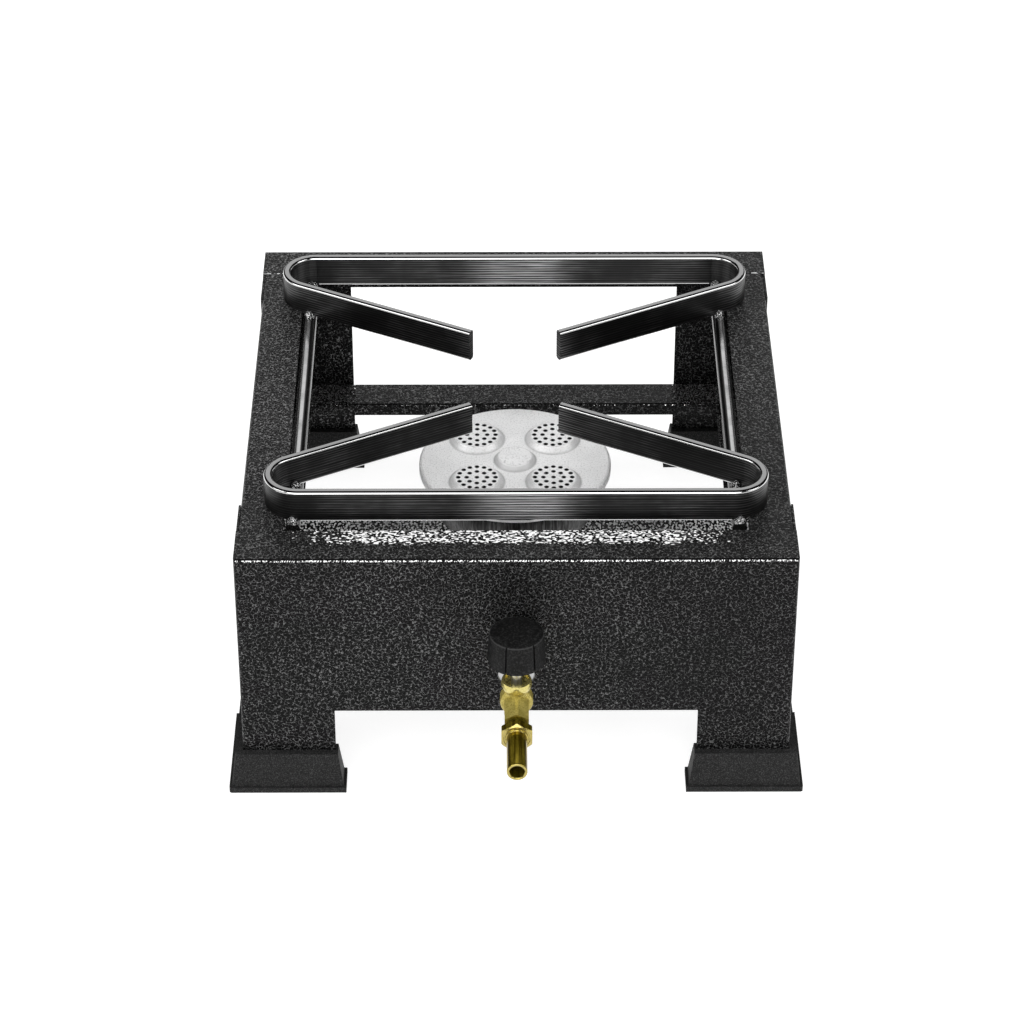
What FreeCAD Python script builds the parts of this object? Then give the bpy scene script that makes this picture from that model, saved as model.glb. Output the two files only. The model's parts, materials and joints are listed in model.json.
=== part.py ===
"""Single burner gas stove: folded sheet frame on shoe feet, lift-off pot support, burner and gas tap.

Millimetres, +Z up, +Y to the rear. The origin is on the floor below the middle of the frame.
"""
import FreeCAD, Part
import math
import os

# Frame of folded sheet
frame_width = 300.0
frame_depth = 320.0
frame_top = 152.0
sheet = 1.2
fold_radius = 2.0
front_apron = 101.0
rear_apron = 25.0
leg_width = 51.0
leg_return = 53.0
end_flange = 27.0
side_flange = 24.0
side_height = 103.0
lap_gap = 0.1
joint_gap = 0.3

# Crossbars of folded sheet
crossbar_width = 24.5
crossbar_height = 7.5
crossbar_lap = 6.0

# Shoe feet
foot_floor = 3.0
foot_height = 24.0
plinth_height = 3.5
plinth_step = 1.4
foot_overhang = 6.7
foot_lip = 4.2
foot_end_overhang = 4.0
foot_end_lip = 1.2
foot_inner_wall = 4.0
foot_inner_flare = 3.0
foot_slot_gap = 0.15
foot_corner_radius = 1.5

# Pot support of flat bar and round rod
bar_height = 19.0
bar_thickness = 4.76
bar_edge_radius = 1.6
support_side_inset = 14.0
support_end_inset = 35.5
bend_radius = 19.0
arm_angle = 28.0
arm_length = 113.0
rod_radius = 4.0
rod_gap = 0.7
rod_overhang = 1.5
weld_radius = 3.2
weld_gap = 0.03

# Burner
bowl_height = 48.0
bowl_radius = 49.5
bowl_wall = 3.0
bowl_rim_height = 4.0
bowl_floor_radius = 24.0
bowl_floor_height = 6.0
bowl_bulge_radius = 46.5
bowl_bulge_height = 21.0
bowl_foot_radius = 16.0
cap_radius = 55.0
cap_wall = 1.6
cap_skirt = 3.6
cap_edge_radius = 2.2
cap_fit = 0.3
dome_place_radius = 30.8
dome_base_radius = 15.6
dome_top_radius = 12.9
dome_height = 3.2
dome_base_fillet = 1.6
dome_top_fillet = 1.2
button_base_radius = 11.8
button_top_radius = 9.8
button_height = 3.1
hole_radius = 1.05
hole_ring_radii = (0.0, 5.8, 10.6)
hole_ring_counts = (1, 8, 16)

# Mixing tube and its mouth
tube_mouth_radius = 14.0
tube_throat_radius = 9.0
tube_bowl_radius = 10.5
tube_wall = 2.6
tube_flare_length = 34.0
tube_seat = 30.0
tube_spigot = 24.0
tube_fit = 0.05
bridge_width = 9.0
bridge_depth = 5.0
bridge_boss_radius = 8.0
shutter_radius = 13.6
shutter_thickness = 1.2
shutter_gap = 0.3
window_inner_radius = 8.4
window_outer_radius = 11.2
window_angle = 84.0

# Fixing of the burner on its crossbar
bolt_radius = 4.0
bolt_hole_gap = 0.4
bolt_head_flats = 13.0
bolt_head_height = 5.3
bolt_reach = 5.0
washer_radius = 8.5
washer_thickness = 1.6

# Gas tap
tap_height = 74.6
tap_reach = 20.0
panel_hole_radius = 10.0
barrel_radius = 6.65
barrel_top = 7.0
barrel_bottom = 11.0
barrel_chamfer = 1.0
belly_radius = 8.9
belly_width = 9.0
inlet_flats = 12.9
inlet_reach = 22.8
neck_radius = 6.1
neck_length = 5.0
shoulder_radius = 6.2
stub_radius = 5.0
stub_fit = 0.05
stub_tail = 4.0
gas_bore_radius = 2.4
nut_flats = 13.0
nut_thickness = 5.0
plug_top_radius = 4.7
plug_bottom_radius = 3.7
plug_top = 5.6
plug_bottom = 8.0
plug_port_radius = 1.9
plug_fit = 0.04
tang_flats = 4.0
tang_depth = 4.0
tang_fit = 0.05
spring_height = 1.9
spring_thickness = 0.6
bonnet_mouth_radius = 7.9
bonnet_belly_radius = 8.3
bonnet_belly_height = 3.6
bonnet_height = 6.4
bonnet_lip = 2.0
bonnet_wall = 1.3
bonnet_floor_top = 3.2
bonnet_floor_rise = 0.5
spindle_radius = 3.0
spindle_fit = 0.05
spindle_flat = 1.2
injector_flats = 8.0
injector_head = 5.0
injector_tip = 6.0
injector_nose_radius = 3.6
injector_tip_radius = 1.6
injector_shank_radius = 2.9
injector_shank = 5.0
orifice_radius = 0.4

# Hose nipple
nipple_radius = 5.45
nipple_bore_radius = 3.95
nipple_bore_step = 1.6
nipple_length = 28.0
nipple_end_radius = 0.5
collar_flats = 16.4
collar_length = 5.2
collar_bevel = 2.6
nipple_shank_radius = 3.9
nipple_shank = 6.0
gasket_thickness = 1.2
gasket_radius = 6.4

# Knob
knob_radius = 15.5
knob_top_radius = 14.7
knob_wall_height = 17.0
knob_crown = 1.6
knob_edge_radius = 1.3
knob_gap = 13.9
knob_wall = 2.2
knob_hub_radius = 5.6
knob_socket = 11.0
knob_skirt_depth = 9.0
flute_count = 6
flute_width = 1.0
flute_depth = 1.7
flute_turn = -22.0

# How far a cutter passes the face that it cuts
over = 1.0

# Places that follow from the sizes above
half_width = frame_width / 2
front_face = -frame_depth / 2
leg_bottom = foot_floor
web_face = half_width - sheet - lap_gap
opening_half_width = web_face - side_flange
opening_half_depth = frame_depth / 2 - end_flange
rail_floor = frame_top - side_height + sheet
crossbar_top = rail_floor + crossbar_height
cut_half_width = half_width - leg_width
support_half_depth = frame_depth / 2 - support_end_inset
support_half_span = half_width - support_side_inset
rod_x = opening_half_width - rod_gap - rod_radius
bowl_rim = crossbar_top + bowl_height
bowl_rim_radius = cap_radius - cap_wall - cap_fit
cap_disc_top = bowl_rim + cap_wall
tap_axis_y = front_face - tap_reach
inlet_face = tap_axis_y - inlet_reach
gasket_face = inlet_face - neck_length
collar_face = gasket_face - gasket_thickness
nipple_root = collar_face - collar_length
shutter_front = front_face + sheet + 2 * shutter_gap
mouth_face = shutter_front + shutter_thickness + shutter_gap
nut_face = shutter_front - shutter_gap
stub_end = mouth_face + bridge_depth + stub_tail
barrel_face = tap_height + barrel_top
plug_face = tap_height + plug_top
bonnet_top = barrel_face + bonnet_height
knob_bottom = bonnet_top + knob_gap
spindle_top = knob_bottom + knob_socket

X = FreeCAD.Vector(1, 0, 0)
Y = FreeCAD.Vector(0, 1, 0)
Z = FreeCAD.Vector(0, 0, 1)


def vec(x, y, z=0.0):
    return FreeCAD.Vector(x, y, z)


def box(x0, x1, y0, y1, z0, z1):
    return Part.makeBox(x1 - x0, y1 - y0, z1 - z0, vec(x0, y0, z0))


def rod(start, axis, length, radius):
    return Part.makeCylinder(radius, length, start, axis)


def closed_face(edges):
    return Part.Face(Part.Wire(Part.__sortEdges__(edges)))


def polygon(points):
    return Part.Face(Part.makePolygon(points + points[:1]))


def line(a, b):
    return Part.LineSegment(a, b).toShape()


def arc(a, middle, b):
    return Part.Arc(a, middle, b).toShape()


def turned(points, centre, axis):
    """Solid of revolution from (radius, height) points; height runs along the axis."""
    side = X if abs(axis.x) < 0.5 else Y
    places = [centre + side * r + axis * h for r, h in points]
    return polygon(places).revolve(centre, axis, 360)


def hexagon(centre, axis, flats, length):
    """Hexagonal bar along the axis, with a corner up."""
    corner = flats / 2 / math.cos(math.radians(30))
    side = Z if abs(axis.z) < 0.5 else X
    other = axis.cross(side)
    points = []
    for i in range(6):
        angle = math.radians(60 * i)
        points.append(centre + side * (corner * math.cos(angle)) + other * (corner * math.sin(angle)))
    return polygon(points).extrude(axis * length)


def edges_where(shape, test):
    return [edge for edge in shape.Edges if test(edge)]


def along(edge, axis):
    ends = [v.Point for v in edge.Vertexes]
    if len(ends) < 2:
        return False
    run = (ends[1] - ends[0]).normalize()
    return abs(abs(run.dot(axis)) - 1) < 1e-6


def half_turn(shape):
    """The same piece seen from the opposite end of the stove."""
    copy = shape.copy()
    copy.rotate(vec(0, 0), Z, 180)
    return copy


def mirrored(shape):
    return shape.mirror(vec(0, 0), X)


def end_panel(apron):
    """Folded end panel: face with two legs, returns that wrap the sides, and a top flange."""
    back = front_face + leg_return
    outer = box(-half_width, half_width, front_face, back, leg_bottom, frame_top)
    folds = edges_where(outer, lambda e: on_front(e, front_face) and (along(e, Z) or at_height(e, frame_top)))
    outer = outer.makeFillet(fold_radius, folds)
    inner = box(-half_width + sheet, half_width - sheet, front_face + sheet, back + over,
                leg_bottom - over, frame_top - sheet)
    folds = edges_where(inner, lambda e: on_front(e, front_face + sheet)
                        and (along(e, Z) or at_height(e, frame_top - sheet)))
    inner = inner.makeFillet(fold_radius - sheet, folds)
    panel = outer.cut(inner)
    behind_flange = box(-half_width - over, half_width + over, -opening_half_depth, back + over,
                        frame_top - sheet, frame_top + over)
    below_apron = box(-cut_half_width, cut_half_width, front_face - over, back + over,
                      leg_bottom - over, frame_top - apron)
    return panel.cut(behind_flange).cut(below_apron)


def on_front(edge, y):
    return all(abs(v.Y - y) < 1e-6 for v in edge.Vertexes)


def at_height(edge, z):
    return all(abs(v.Z - z) < 1e-6 for v in edge.Vertexes)


def front_panel():
    hole = rod(vec(0, front_face - over, tap_height), Y, sheet + 2 * over, panel_hole_radius)
    return end_panel(front_apron).cut(hole)


def rear_panel():
    return half_turn(end_panel(rear_apron))


def right_side_panel():
    """Channel with its web inside the leg returns and both flanges turned in."""
    reach = frame_depth / 2 - sheet - fold_radius
    bottom = frame_top - side_height
    outer = box(opening_half_width, web_face, -reach, reach, bottom, frame_top)
    folds = edges_where(outer, lambda e: along(e, Y) and e.Vertexes[0].X > web_face - sheet)
    outer = outer.makeFillet(fold_radius, folds)
    inner = box(opening_half_width - over, web_face - sheet, -reach - over, reach + over,
                bottom + sheet, frame_top - sheet)
    folds = edges_where(inner, lambda e: along(e, Y) and e.Vertexes[0].X > web_face - 2 * sheet)
    inner = inner.makeFillet(fold_radius - sheet, folds)
    panel = outer.cut(inner)
    flange_end = opening_half_depth - joint_gap
    under = frame_top - sheet - lap_gap
    for side in (-1, 1):
        ends = sorted((side * flange_end, side * (reach + over)))
        notch = box(opening_half_width - over, web_face + over, ends[0], ends[1], under, frame_top + over)
        panel = panel.cut(notch)
    return panel


def crossbar(y):
    """Shallow inverted channel that rests on the bottom flanges of both side panels."""
    reach = opening_half_width + crossbar_lap
    half = crossbar_width / 2
    outer = box(-reach, reach, y - half, y + half, rail_floor, crossbar_top)
    folds = edges_where(outer, lambda e: along(e, X) and at_height(e, crossbar_top))
    outer = outer.makeFillet(fold_radius, folds)
    inner = box(-reach - over, reach + over, y - half + sheet, y + half - sheet,
                rail_floor - over, crossbar_top - sheet)
    return outer.cut(inner)


def burner_crossbar():
    hole = rod(vec(0, 0, crossbar_top - sheet - over), Z, sheet + 2 * over, bolt_radius + bolt_hole_gap)
    return crossbar(0).cut(hole)


def rear_crossbar():
    return crossbar(frame_depth / 2 - sheet - lap_gap - crossbar_width / 2)


def corner_outline(outside, inside, end, z):
    """L outline round the front right leg: outside and inside its sheet, and past its two ends."""
    x_out = half_width + outside
    y_out = front_face - outside
    x_in = half_width - sheet - inside
    y_in = front_face + sheet + inside
    x_end = cut_half_width - end
    y_end = front_face + leg_return + end
    return [vec(x_end, y_out, z), vec(x_out, y_out, z), vec(x_out, y_end, z),
            vec(x_in, y_end, z), vec(x_in, y_in, z), vec(x_end, y_in, z)]


def closed_wire(points):
    return Part.makePolygon(points + points[:1])


def front_right_foot():
    """Moulded shoe: stepped plinth, walls that lean in, and a slot for the leg."""
    plinth_inside = foot_inner_wall + foot_inner_flare + plinth_step
    plinth = Part.Face(closed_wire(corner_outline(foot_overhang + plinth_step, plinth_inside,
                                                  foot_end_overhang + plinth_step, 0)))
    plinth = plinth.extrude(vec(0, 0, plinth_height))
    inner_reach = foot_inner_wall + foot_inner_flare
    lower = corner_outline(foot_overhang, inner_reach, foot_end_overhang, plinth_height)
    upper = corner_outline(foot_lip, foot_inner_wall, foot_end_lip, foot_height)
    walls = Part.makeLoft([closed_wire(lower), closed_wire(upper)], True, True)
    shoe = plinth.fuse(walls).removeSplitter()
    corner = edges_where(shoe, lambda e: min(v.X for v in e.Vertexes) > half_width
                         and max(v.Y for v in e.Vertexes) < front_face
                         and abs(e.Vertexes[0].Z - e.Vertexes[-1].Z) > over)
    shoe = shoe.makeFillet(foot_corner_radius, corner)
    slot_points = corner_outline(foot_slot_gap, foot_slot_gap, foot_slot_gap, foot_floor)
    slot = Part.Face(closed_wire(slot_points)).extrude(vec(0, 0, foot_height))
    bend = slot_points[4]
    inside_bend = edges_where(slot, lambda e: along(e, Z) and abs(e.Vertexes[0].X - bend.x) < foot_slot_gap
                              and abs(e.Vertexes[0].Y - bend.y) < foot_slot_gap)
    slot = slot.makeFillet(fold_radius, inside_bend)
    return shoe.cut(slot)


def support_bar():
    """Front bar of the pot support: straight run, two round bends and two arms towards the middle."""
    slope = math.radians(arm_angle)
    forward = vec(math.cos(slope), math.sin(slope))
    normal = vec(-math.sin(slope), math.cos(slope))
    centre = vec(-support_half_span + bend_radius, -support_half_depth + bend_radius)
    half_bend = math.radians(90 + (180 - arm_angle) / 2)
    halfway = vec(-math.sin(half_bend - math.pi / 2), -math.cos(half_bend - math.pi / 2))
    left_sides = []
    for radius in (bend_radius, bend_radius - bar_thickness):
        bend_end = centre + normal * radius
        left_sides.append([bend_end + forward * arm_length, bend_end, centre + halfway * radius,
                           centre + vec(0, -radius)])
    edges = []
    tips = []
    for tip, bend_end, middle, run_end in left_sides:
        other = [vec(-p.x, p.y) for p in (tip, bend_end, middle, run_end)]
        edges += [line(tip, bend_end), arc(bend_end, middle, run_end), line(run_end, other[3]),
                  arc(other[3], other[2], other[1]), line(other[1], other[0])]
        tips.append((tip, other[0]))
    edges += [line(tips[0][0], tips[1][0]), line(tips[0][1], tips[1][1])]
    bar = closed_face(edges).extrude(vec(0, 0, bar_height))
    long_edges = edges_where(bar, lambda e: not along(e, Z) and e.Length > bar_thickness + over)
    bar = bar.makeFillet(bar_edge_radius, long_edges)
    bar.translate(vec(0, 0, frame_top))
    return bar


def support_rod(side):
    """Round rod under both bars, just inside the frame opening."""
    reach = support_half_depth + rod_overhang
    return rod(vec(side * rod_x, -reach, frame_top - rod_radius), Y, 2 * reach, rod_radius)


def weld_bead(place, normal, through):
    """Bead against one face of a bar, cut away where the rod passes."""
    size = 2 * weld_radius
    half_space = box(weld_gap, size, -size, size, -size, size)
    half_space.rotate(vec(0, 0), Z, math.degrees(math.atan2(normal.y, normal.x)))
    half_space.translate(place)
    return Part.makeSphere(weld_radius, place).common(half_space).cut(through)


def support_welds(bars):
    """Weld beads on both faces of the bars where the rods pass under the straight runs and the arms."""
    slope = math.radians(arm_angle)
    bend_x = support_half_span - bend_radius
    bend_y = support_half_depth - bend_radius
    beads = []
    for side in (-1, 1):
        core_start = vec(side * rod_x, -frame_depth / 2, frame_top - rod_radius)
        core = rod(core_start, Y, frame_depth, rod_radius + weld_gap)
        for end in (-1, 1):
            run_normal = vec(0, end)
            arm_normal = vec(side * math.sin(slope), -end * math.cos(slope))
            for turn, radius in ((1, bend_radius), (-1, bend_radius - bar_thickness)):
                run_y = bend_y + radius
                arm_y = bend_y - (bend_x - rod_x) * math.tan(slope) - radius / math.cos(slope)
                run_place = vec(side * rod_x, end * run_y, frame_top)
                arm_place = vec(side * rod_x, end * arm_y, frame_top)
                bar = bars[0] if end < 0 else bars[1]
                beads.append(weld_bead(run_place, run_normal * turn, core).cut(bar))
                beads.append(weld_bead(arm_place, arm_normal * turn, core).cut(bar))
    return Part.makeCompound(beads)


def burner_bowl():
    """Deep bowl on a round foot, with a level rim for the cap and a hole for the mixing tube."""
    base = vec(0, 0, crossbar_top)
    rim_low = bowl_height - bowl_rim_height
    floor = bowl_floor_height
    foot = [vec(0, 0, 0), vec(bowl_foot_radius, 0, 0), vec(bowl_foot_radius, 0, floor),
            vec(bowl_floor_radius, 0, floor)]
    shoulder = vec(bowl_radius, 0, rim_low)
    bulge = vec(bowl_bulge_radius, 0, bowl_bulge_height)
    rim = [shoulder, vec(bowl_rim_radius, 0, rim_low), vec(bowl_rim_radius, 0, bowl_height),
           vec(0, 0, bowl_height)]
    edges = [line(a, b) for a, b in zip(foot, foot[1:])] + [arc(foot[-1], bulge, shoulder)]
    edges += [line(a, b) for a, b in zip(rim, rim[1:])] + [line(rim[-1], foot[0])]
    outer = closed_face(edges).revolve(vec(0, 0), Z, 360)
    inner_floor = floor + bowl_wall
    inner_radius = bowl_radius - bowl_wall
    inner_low = vec(bowl_floor_radius, 0, inner_floor)
    inner_top = vec(inner_radius, 0, rim_low)
    mouth = [inner_top, vec(inner_radius, 0, bowl_height + over), vec(0, 0, bowl_height + over),
             vec(0, 0, inner_floor), inner_low]
    edges = [arc(inner_low, bulge - X * bowl_wall, inner_top)]
    edges += [line(a, b) for a, b in zip(mouth, mouth[1:])]
    hollow = closed_face(edges).revolve(vec(0, 0), Z, 360)
    bowl = outer.cut(hollow)
    bowl.translate(base)
    # The belly may stand out past the shoulder by as much as its wall
    reach = bowl_radius + bowl_wall + over
    outside = vec(0, -reach, tap_height)
    seat = rod(outside, Y, reach - tube_seat, tube_bowl_radius + tube_fit)
    passage = rod(outside, Y, reach, tube_bowl_radius - tube_wall)
    bolt_hole = rod(base - Z * over, Z, bolt_reach + over, bolt_radius + stub_fit)
    return bowl.cut(seat).cut(passage).cut(bolt_hole).removeSplitter()


def mixing_tube():
    """Waisted tube from the tap to the bowl, with a bridge across its mouth that holds the tap's stub."""
    axis = vec(0, mouth_face, tap_height)
    run = -tube_seat - mouth_face
    skin = [(tube_mouth_radius, 0), (tube_mouth_radius, bridge_depth),
            (tube_throat_radius, tube_flare_length),
            (tube_bowl_radius, run - tube_spigot), (tube_bowl_radius, run)]
    bore = [(radius - tube_wall, height) for radius, height in skin]
    tube = turned(skin + bore[::-1], axis, Y)
    bridge = box(-tube_mouth_radius, tube_mouth_radius, mouth_face, mouth_face + bridge_depth,
                 tap_height - bridge_width / 2, tap_height + bridge_width / 2)
    bridge = bridge.common(rod(axis, Y, bridge_depth, tube_mouth_radius - tube_wall / 2))
    bridge = bridge.fuse(rod(axis, Y, bridge_depth, bridge_boss_radius))
    stub_hole = rod(axis - Y * over, Y, bridge_depth + 2 * over, stub_radius + stub_fit)
    return tube.fuse(bridge).cut(stub_hole).removeSplitter()


def burner_cap():
    """Pressed cap: four raised domes with rings of flame holes, and a plain button in the middle."""
    low = bowl_rim - cap_skirt
    centre = vec(0, 0, cap_disc_top)
    places = []
    for i in range(4):
        angle = math.radians(45 + 90 * i)
        places.append(centre + vec(math.cos(angle), math.sin(angle)) * dome_place_radius)

    def pressing(inset, grow, bottom, rounded):
        top = cap_disc_top - inset
        shape = rod(vec(0, 0, bottom), Z, top - bottom, cap_radius - grow)
        if rounded:
            shape = shape.makeFillet(cap_edge_radius, edges_where(shape, lambda e: at_height(e, top)))
        for place in places:
            dome = Part.makeCone(dome_base_radius - grow, dome_top_radius - grow, dome_height,
                                 place - Z * inset)
            shape = shape.fuse(dome)
        button = Part.makeCone(button_base_radius - grow, button_top_radius - grow, button_height,
                               centre - Z * inset)
        shape = shape.fuse(button).removeSplitter()
        if rounded:
            roots = edges_where(shape, lambda e: at_height(e, top) and e.Length < math.pi * cap_radius)
            shape = shape.makeFillet(dome_base_fillet, roots)
            crowns = edges_where(shape, lambda e: at_height(e, top + dome_height)
                                 or at_height(e, top + button_height))
            shape = shape.makeFillet(dome_top_fillet, crowns)
        return shape

    cap = pressing(0, 0, low, True).cut(pressing(cap_wall, cap_wall, low - over, False))
    holes = []
    for place in places:
        for ring_radius, count in zip(hole_ring_radii, hole_ring_counts):
            for i in range(count):
                angle = 2 * math.pi * i / count
                spot = place + vec(math.cos(angle), math.sin(angle)) * ring_radius
                holes.append(rod(spot - Z * cap_wall * 2, Z, dome_height + 4 * cap_wall, hole_radius))
    return cap.cut(Part.makeCompound(holes))


def sector(inner, outer, angle, start_y, thickness):
    """Window cutter: part of a ring about the tap axis, upright at its middle."""
    centre = vec(0, start_y, tap_height)
    slab = polygon([centre + Z * inner, centre + Z * outer, centre + Z * outer + Y * thickness,
                    centre + Z * inner + Y * thickness])
    slab.rotate(centre, Y, -angle / 2)
    return slab.revolve(centre, Y, angle)


def air_shutter():
    """Turning disc with two windows that open or close the air inlets of the mouth."""
    centre = vec(0, shutter_front, tap_height)
    disc = rod(centre, Y, shutter_thickness, shutter_radius)
    disc = disc.cut(rod(centre - Y * over, Y, shutter_thickness + 2 * over, stub_radius + stub_fit))
    window = sector(window_inner_radius, window_outer_radius, window_angle, shutter_front - over,
                    shutter_thickness + 2 * over)
    other = window.copy()
    other.rotate(centre, Y, 180)
    return disc.cut(window).cut(other)


def burner_bolt():
    head_top = crossbar_top - sheet - washer_thickness
    head = hexagon(vec(0, 0, head_top - bolt_head_height), Z, bolt_head_flats, bolt_head_height)
    return head.fuse(rod(vec(0, 0, head_top), Z, washer_thickness + sheet + bolt_reach, bolt_radius))


def burner_washer():
    low = vec(0, 0, crossbar_top - sheet - washer_thickness)
    return rod(low, Z, washer_thickness, washer_radius).cut(
        rod(low - Z * over, Z, washer_thickness + 2 * over, bolt_radius + bolt_hole_gap))


def valve_lock_nut():
    low = vec(0, nut_face - nut_thickness, tap_height)
    return hexagon(low, Y, nut_flats, nut_thickness).cut(
        rod(low - Y * over, Y, nut_thickness + 2 * over, stub_radius + stub_fit))


def valve_body():
    """Brass tap body: plug barrel with a round belly, hexagonal inlet, and outlet stub to the burner."""
    axis = vec(0, tap_axis_y, tap_height)
    bottom = axis - Z * barrel_bottom
    barrel = rod(bottom, Z, barrel_bottom + barrel_top, barrel_radius)
    barrel = barrel.makeChamfer(barrel_chamfer, edges_where(barrel, lambda e: at_height(e, bottom.z)))
    belly = rod(axis - Y * belly_width / 2, Y, belly_width, belly_radius)
    belly = belly.makeFillet(belly_width / 4, [e for e in belly.Edges if not along(e, Y)])
    inlet = hexagon(vec(0, inlet_face, tap_height), Y, inlet_flats, inlet_reach)
    neck = rod(vec(0, gasket_face, tap_height), Y, neck_length + over, neck_radius)
    shoulder_end = nut_face - nut_thickness
    shoulder = rod(axis, Y, shoulder_end - tap_axis_y, shoulder_radius)
    stub = rod(axis, Y, stub_end - tap_axis_y, stub_radius)
    body = barrel.fuse([belly, inlet, neck, shoulder, stub])
    reach = inlet_reach + neck_length + belly_radius
    above = box(-reach, reach, tap_axis_y - reach, tap_axis_y + reach, barrel_face, barrel_face + reach)
    body = body.cut(above)
    seat = turned([(0, -plug_bottom), (plug_bottom_radius + plug_fit, -plug_bottom),
                   (plug_top_radius + plug_fit, plug_top), (plug_top_radius + plug_fit, barrel_top + over),
                   (0, barrel_top + over)], axis, Z)
    inlet_end = vec(0, gasket_face - over, tap_height)
    gas_way = rod(inlet_end, Y, stub_end - gasket_face + 2 * over, gas_bore_radius)
    inlet_seat = rod(inlet_end, Y, nipple_shank + over, nipple_shank_radius + stub_fit)
    jet_seat = rod(vec(0, stub_end - injector_shank, tap_height), Y, injector_shank + over,
                   injector_shank_radius + stub_fit)
    return body.cut(seat).cut(gas_way).cut(inlet_seat).cut(jet_seat).removeSplitter()


def valve_plug():
    """Tapered plug with its cross port and a square socket for the spindle."""
    axis = vec(0, tap_axis_y, tap_height)
    lift = plug_fit
    plug = turned([(0, -plug_bottom + lift), (plug_bottom_radius, -plug_bottom + lift),
                   (plug_top_radius, plug_top), (0, plug_top)], axis, Z)
    port = rod(axis - X * plug_top_radius * 2, X, plug_top_radius * 4, plug_port_radius)
    half = tang_flats / 2 + tang_fit
    socket = box(-half, half, tap_axis_y - half, tap_axis_y + half, plug_face - tang_depth, plug_face + over)
    return plug.cut(port).cut(socket)


def valve_spindle():
    """Steel spindle: square tang in the plug, round shank, and a flat for the knob."""
    half = tang_flats / 2
    low = plug_face - tang_depth + tang_fit
    tang = box(-half, half, tap_axis_y - half, tap_axis_y + half, low, plug_face)
    shank = rod(vec(0, tap_axis_y, plug_face), Z, spindle_top - plug_face, spindle_radius)
    back = tap_axis_y + spindle_radius
    flat = box(-spindle_radius, spindle_radius, back - spindle_flat, back, knob_bottom, spindle_top + over)
    return tang.fuse(shank).cut(flat).removeSplitter()


def valve_spring():
    """Coned spring washer that presses the plug into its seat."""
    centre = vec(0, tap_axis_y, plug_face)
    inner = spindle_radius + spindle_fit * 4
    outer = plug_top_radius - plug_fit
    rise = spring_height - spring_thickness
    return turned([(inner, rise), (outer, 0), (outer, spring_thickness), (inner, spring_height)], centre, Z)


def valve_bonnet():
    """Round-bellied brass cup on the barrel, which holds the spring down and lets the spindle through."""
    centre = vec(0, tap_axis_y, barrel_face)
    under = plug_face + spring_height - barrel_face
    hole = spindle_radius + spindle_fit
    waist = vec(barrel_radius, 0, 0)
    belly = vec(bonnet_belly_radius, 0, bonnet_belly_height)
    lip = vec(bonnet_mouth_radius, 0, bonnet_height)
    rim = lip - X * bonnet_wall
    inside = [lip, rim, rim - Z * bonnet_lip,
              vec(barrel_radius - bonnet_wall, 0, bonnet_floor_top + bonnet_floor_rise),
              vec(hole, 0, bonnet_floor_top), vec(hole, 0, under), vec(plug_top_radius, 0, under),
              vec(plug_top_radius, 0, 0), waist]
    edges = [arc(waist, belly, lip)] + [line(a, b) for a, b in zip(inside, inside[1:])]
    cup = closed_face(edges).revolve(vec(0, 0), Z, 360)
    cup.translate(centre)
    return cup


def injector():
    """Gas jet in the end of the stub: shank, hexagon and coned nose with its orifice."""
    root = vec(0, stub_end, tap_height)
    jet = hexagon(root, Y, injector_flats, injector_head)
    nose = Part.makeCone(injector_nose_radius, injector_tip_radius, injector_tip, root + Y * injector_head, Y)
    shank = rod(root - Y * (injector_shank - stub_fit), Y, injector_shank, injector_shank_radius)
    bore = rod(root - Y * injector_shank, Y, injector_shank + injector_head, injector_tip_radius)
    orifice = rod(root, Y, injector_head + injector_tip + over, orifice_radius)
    return jet.fuse([nose, shank]).cut(bore).cut(orifice).removeSplitter()


def hose_nipple():
    """Plain hose tail with a hexagonal collar and a shank in the tap's inlet."""
    root = vec(0, collar_face, tap_height)
    collar = hexagon(root, -Y, collar_flats, collar_length)
    corner = collar_flats / 2 / math.cos(math.radians(30))
    plain = collar_length - collar_bevel
    bevel = Part.makeCone(corner, corner - collar_bevel, collar_bevel, root - Y * plain, -Y)
    collar = collar.common(bevel.fuse(rod(root, -Y, plain, corner)))
    tail = rod(vec(0, nipple_root, tap_height), -Y, nipple_length, nipple_radius)
    end = edges_where(tail, lambda e: on_front(e, nipple_root - nipple_length))
    tail = tail.makeFillet(nipple_end_radius, end)
    shank = rod(root, Y, gasket_thickness + nipple_shank - stub_fit, nipple_shank_radius)
    full = collar.fuse([tail, shank])
    wide_length = nipple_length + collar_length - nipple_bore_step
    tail_end = vec(0, nipple_root - nipple_length - over, tap_height)
    wide = rod(tail_end, Y, wide_length + over, nipple_bore_radius)
    narrow_length = nipple_bore_step + gasket_thickness + nipple_shank
    narrow = rod(root - Y * (nipple_bore_step + over), Y, narrow_length + 2 * over, gas_bore_radius)
    return full.cut(wide).cut(narrow).removeSplitter()


def nipple_gasket():
    root = vec(0, collar_face, tap_height)
    return rod(root, Y, gasket_thickness, gasket_radius).cut(
        rod(root - Y * over, Y, gasket_thickness + 2 * over, nipple_shank_radius + stub_fit))


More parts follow.
